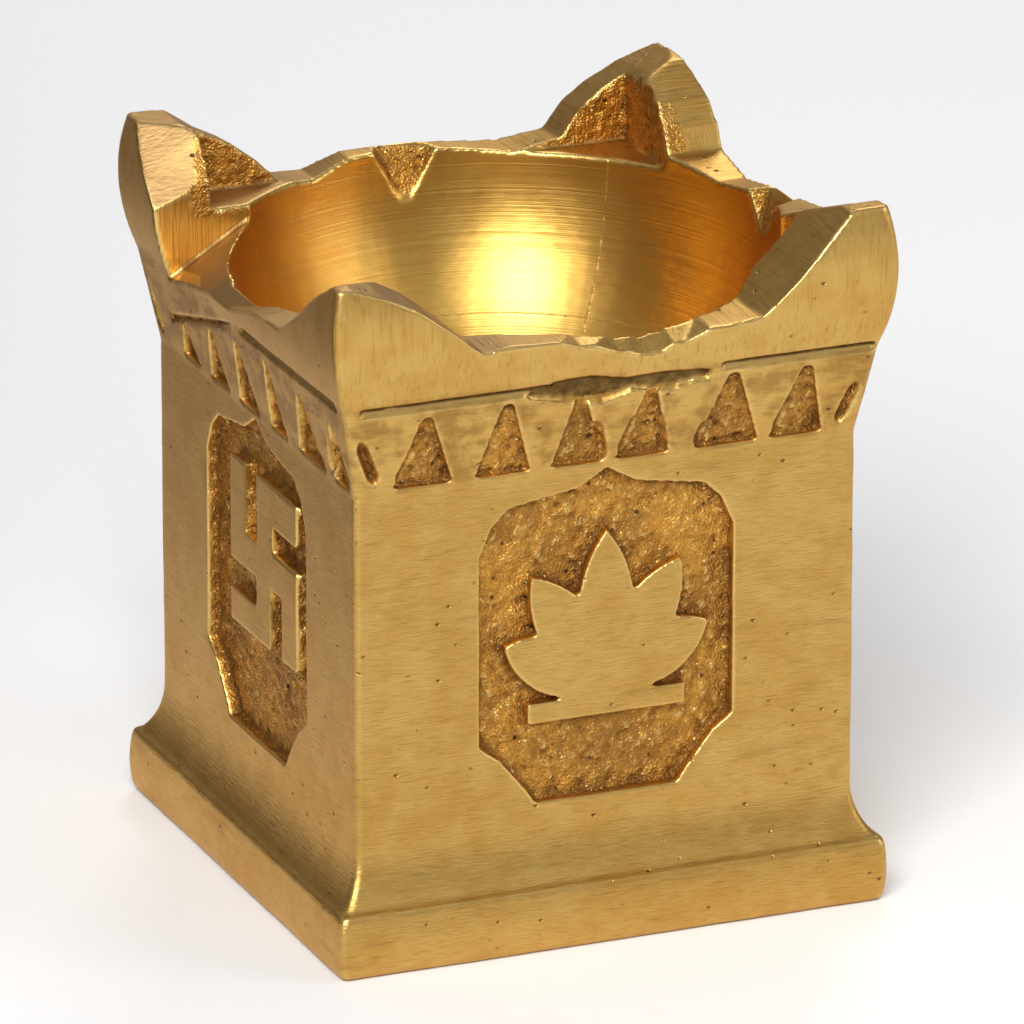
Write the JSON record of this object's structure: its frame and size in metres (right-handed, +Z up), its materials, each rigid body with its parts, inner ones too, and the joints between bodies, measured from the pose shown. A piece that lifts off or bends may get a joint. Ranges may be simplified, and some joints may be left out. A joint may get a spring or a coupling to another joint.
{
  "type": "tulsi pot",
  "caption": "Small square cast brass shrine pot for a tulsi plant, incense or votive light, with horned corners, a turned bowl and traditional Hindu auspicious reliefs on its sides",
  "frame": {"origin": "the middle of the underside, on the surface that the pot stands on", "axes": "+Z up, the front panel faces -Y, the right-hand side faces +X"},
  "size_m": [0.0612, 0.0612, 0.0754],
  "materials": {
    "cast_brass": "sand-cast brass, filed and brushed on the walls, turned in the bowl, grainy in the sunk parts",
    "sheet_brass": "rolled brass sheet, dulled and scratched",
    "soft_solder": "dull grey soft solder"
  },
  "bodies": {
    "root": {"cast_body": "cast_brass", "base_plate": "sheet_brass", "solder_seam": "soft_solder"}
  },
  "joints": []
}
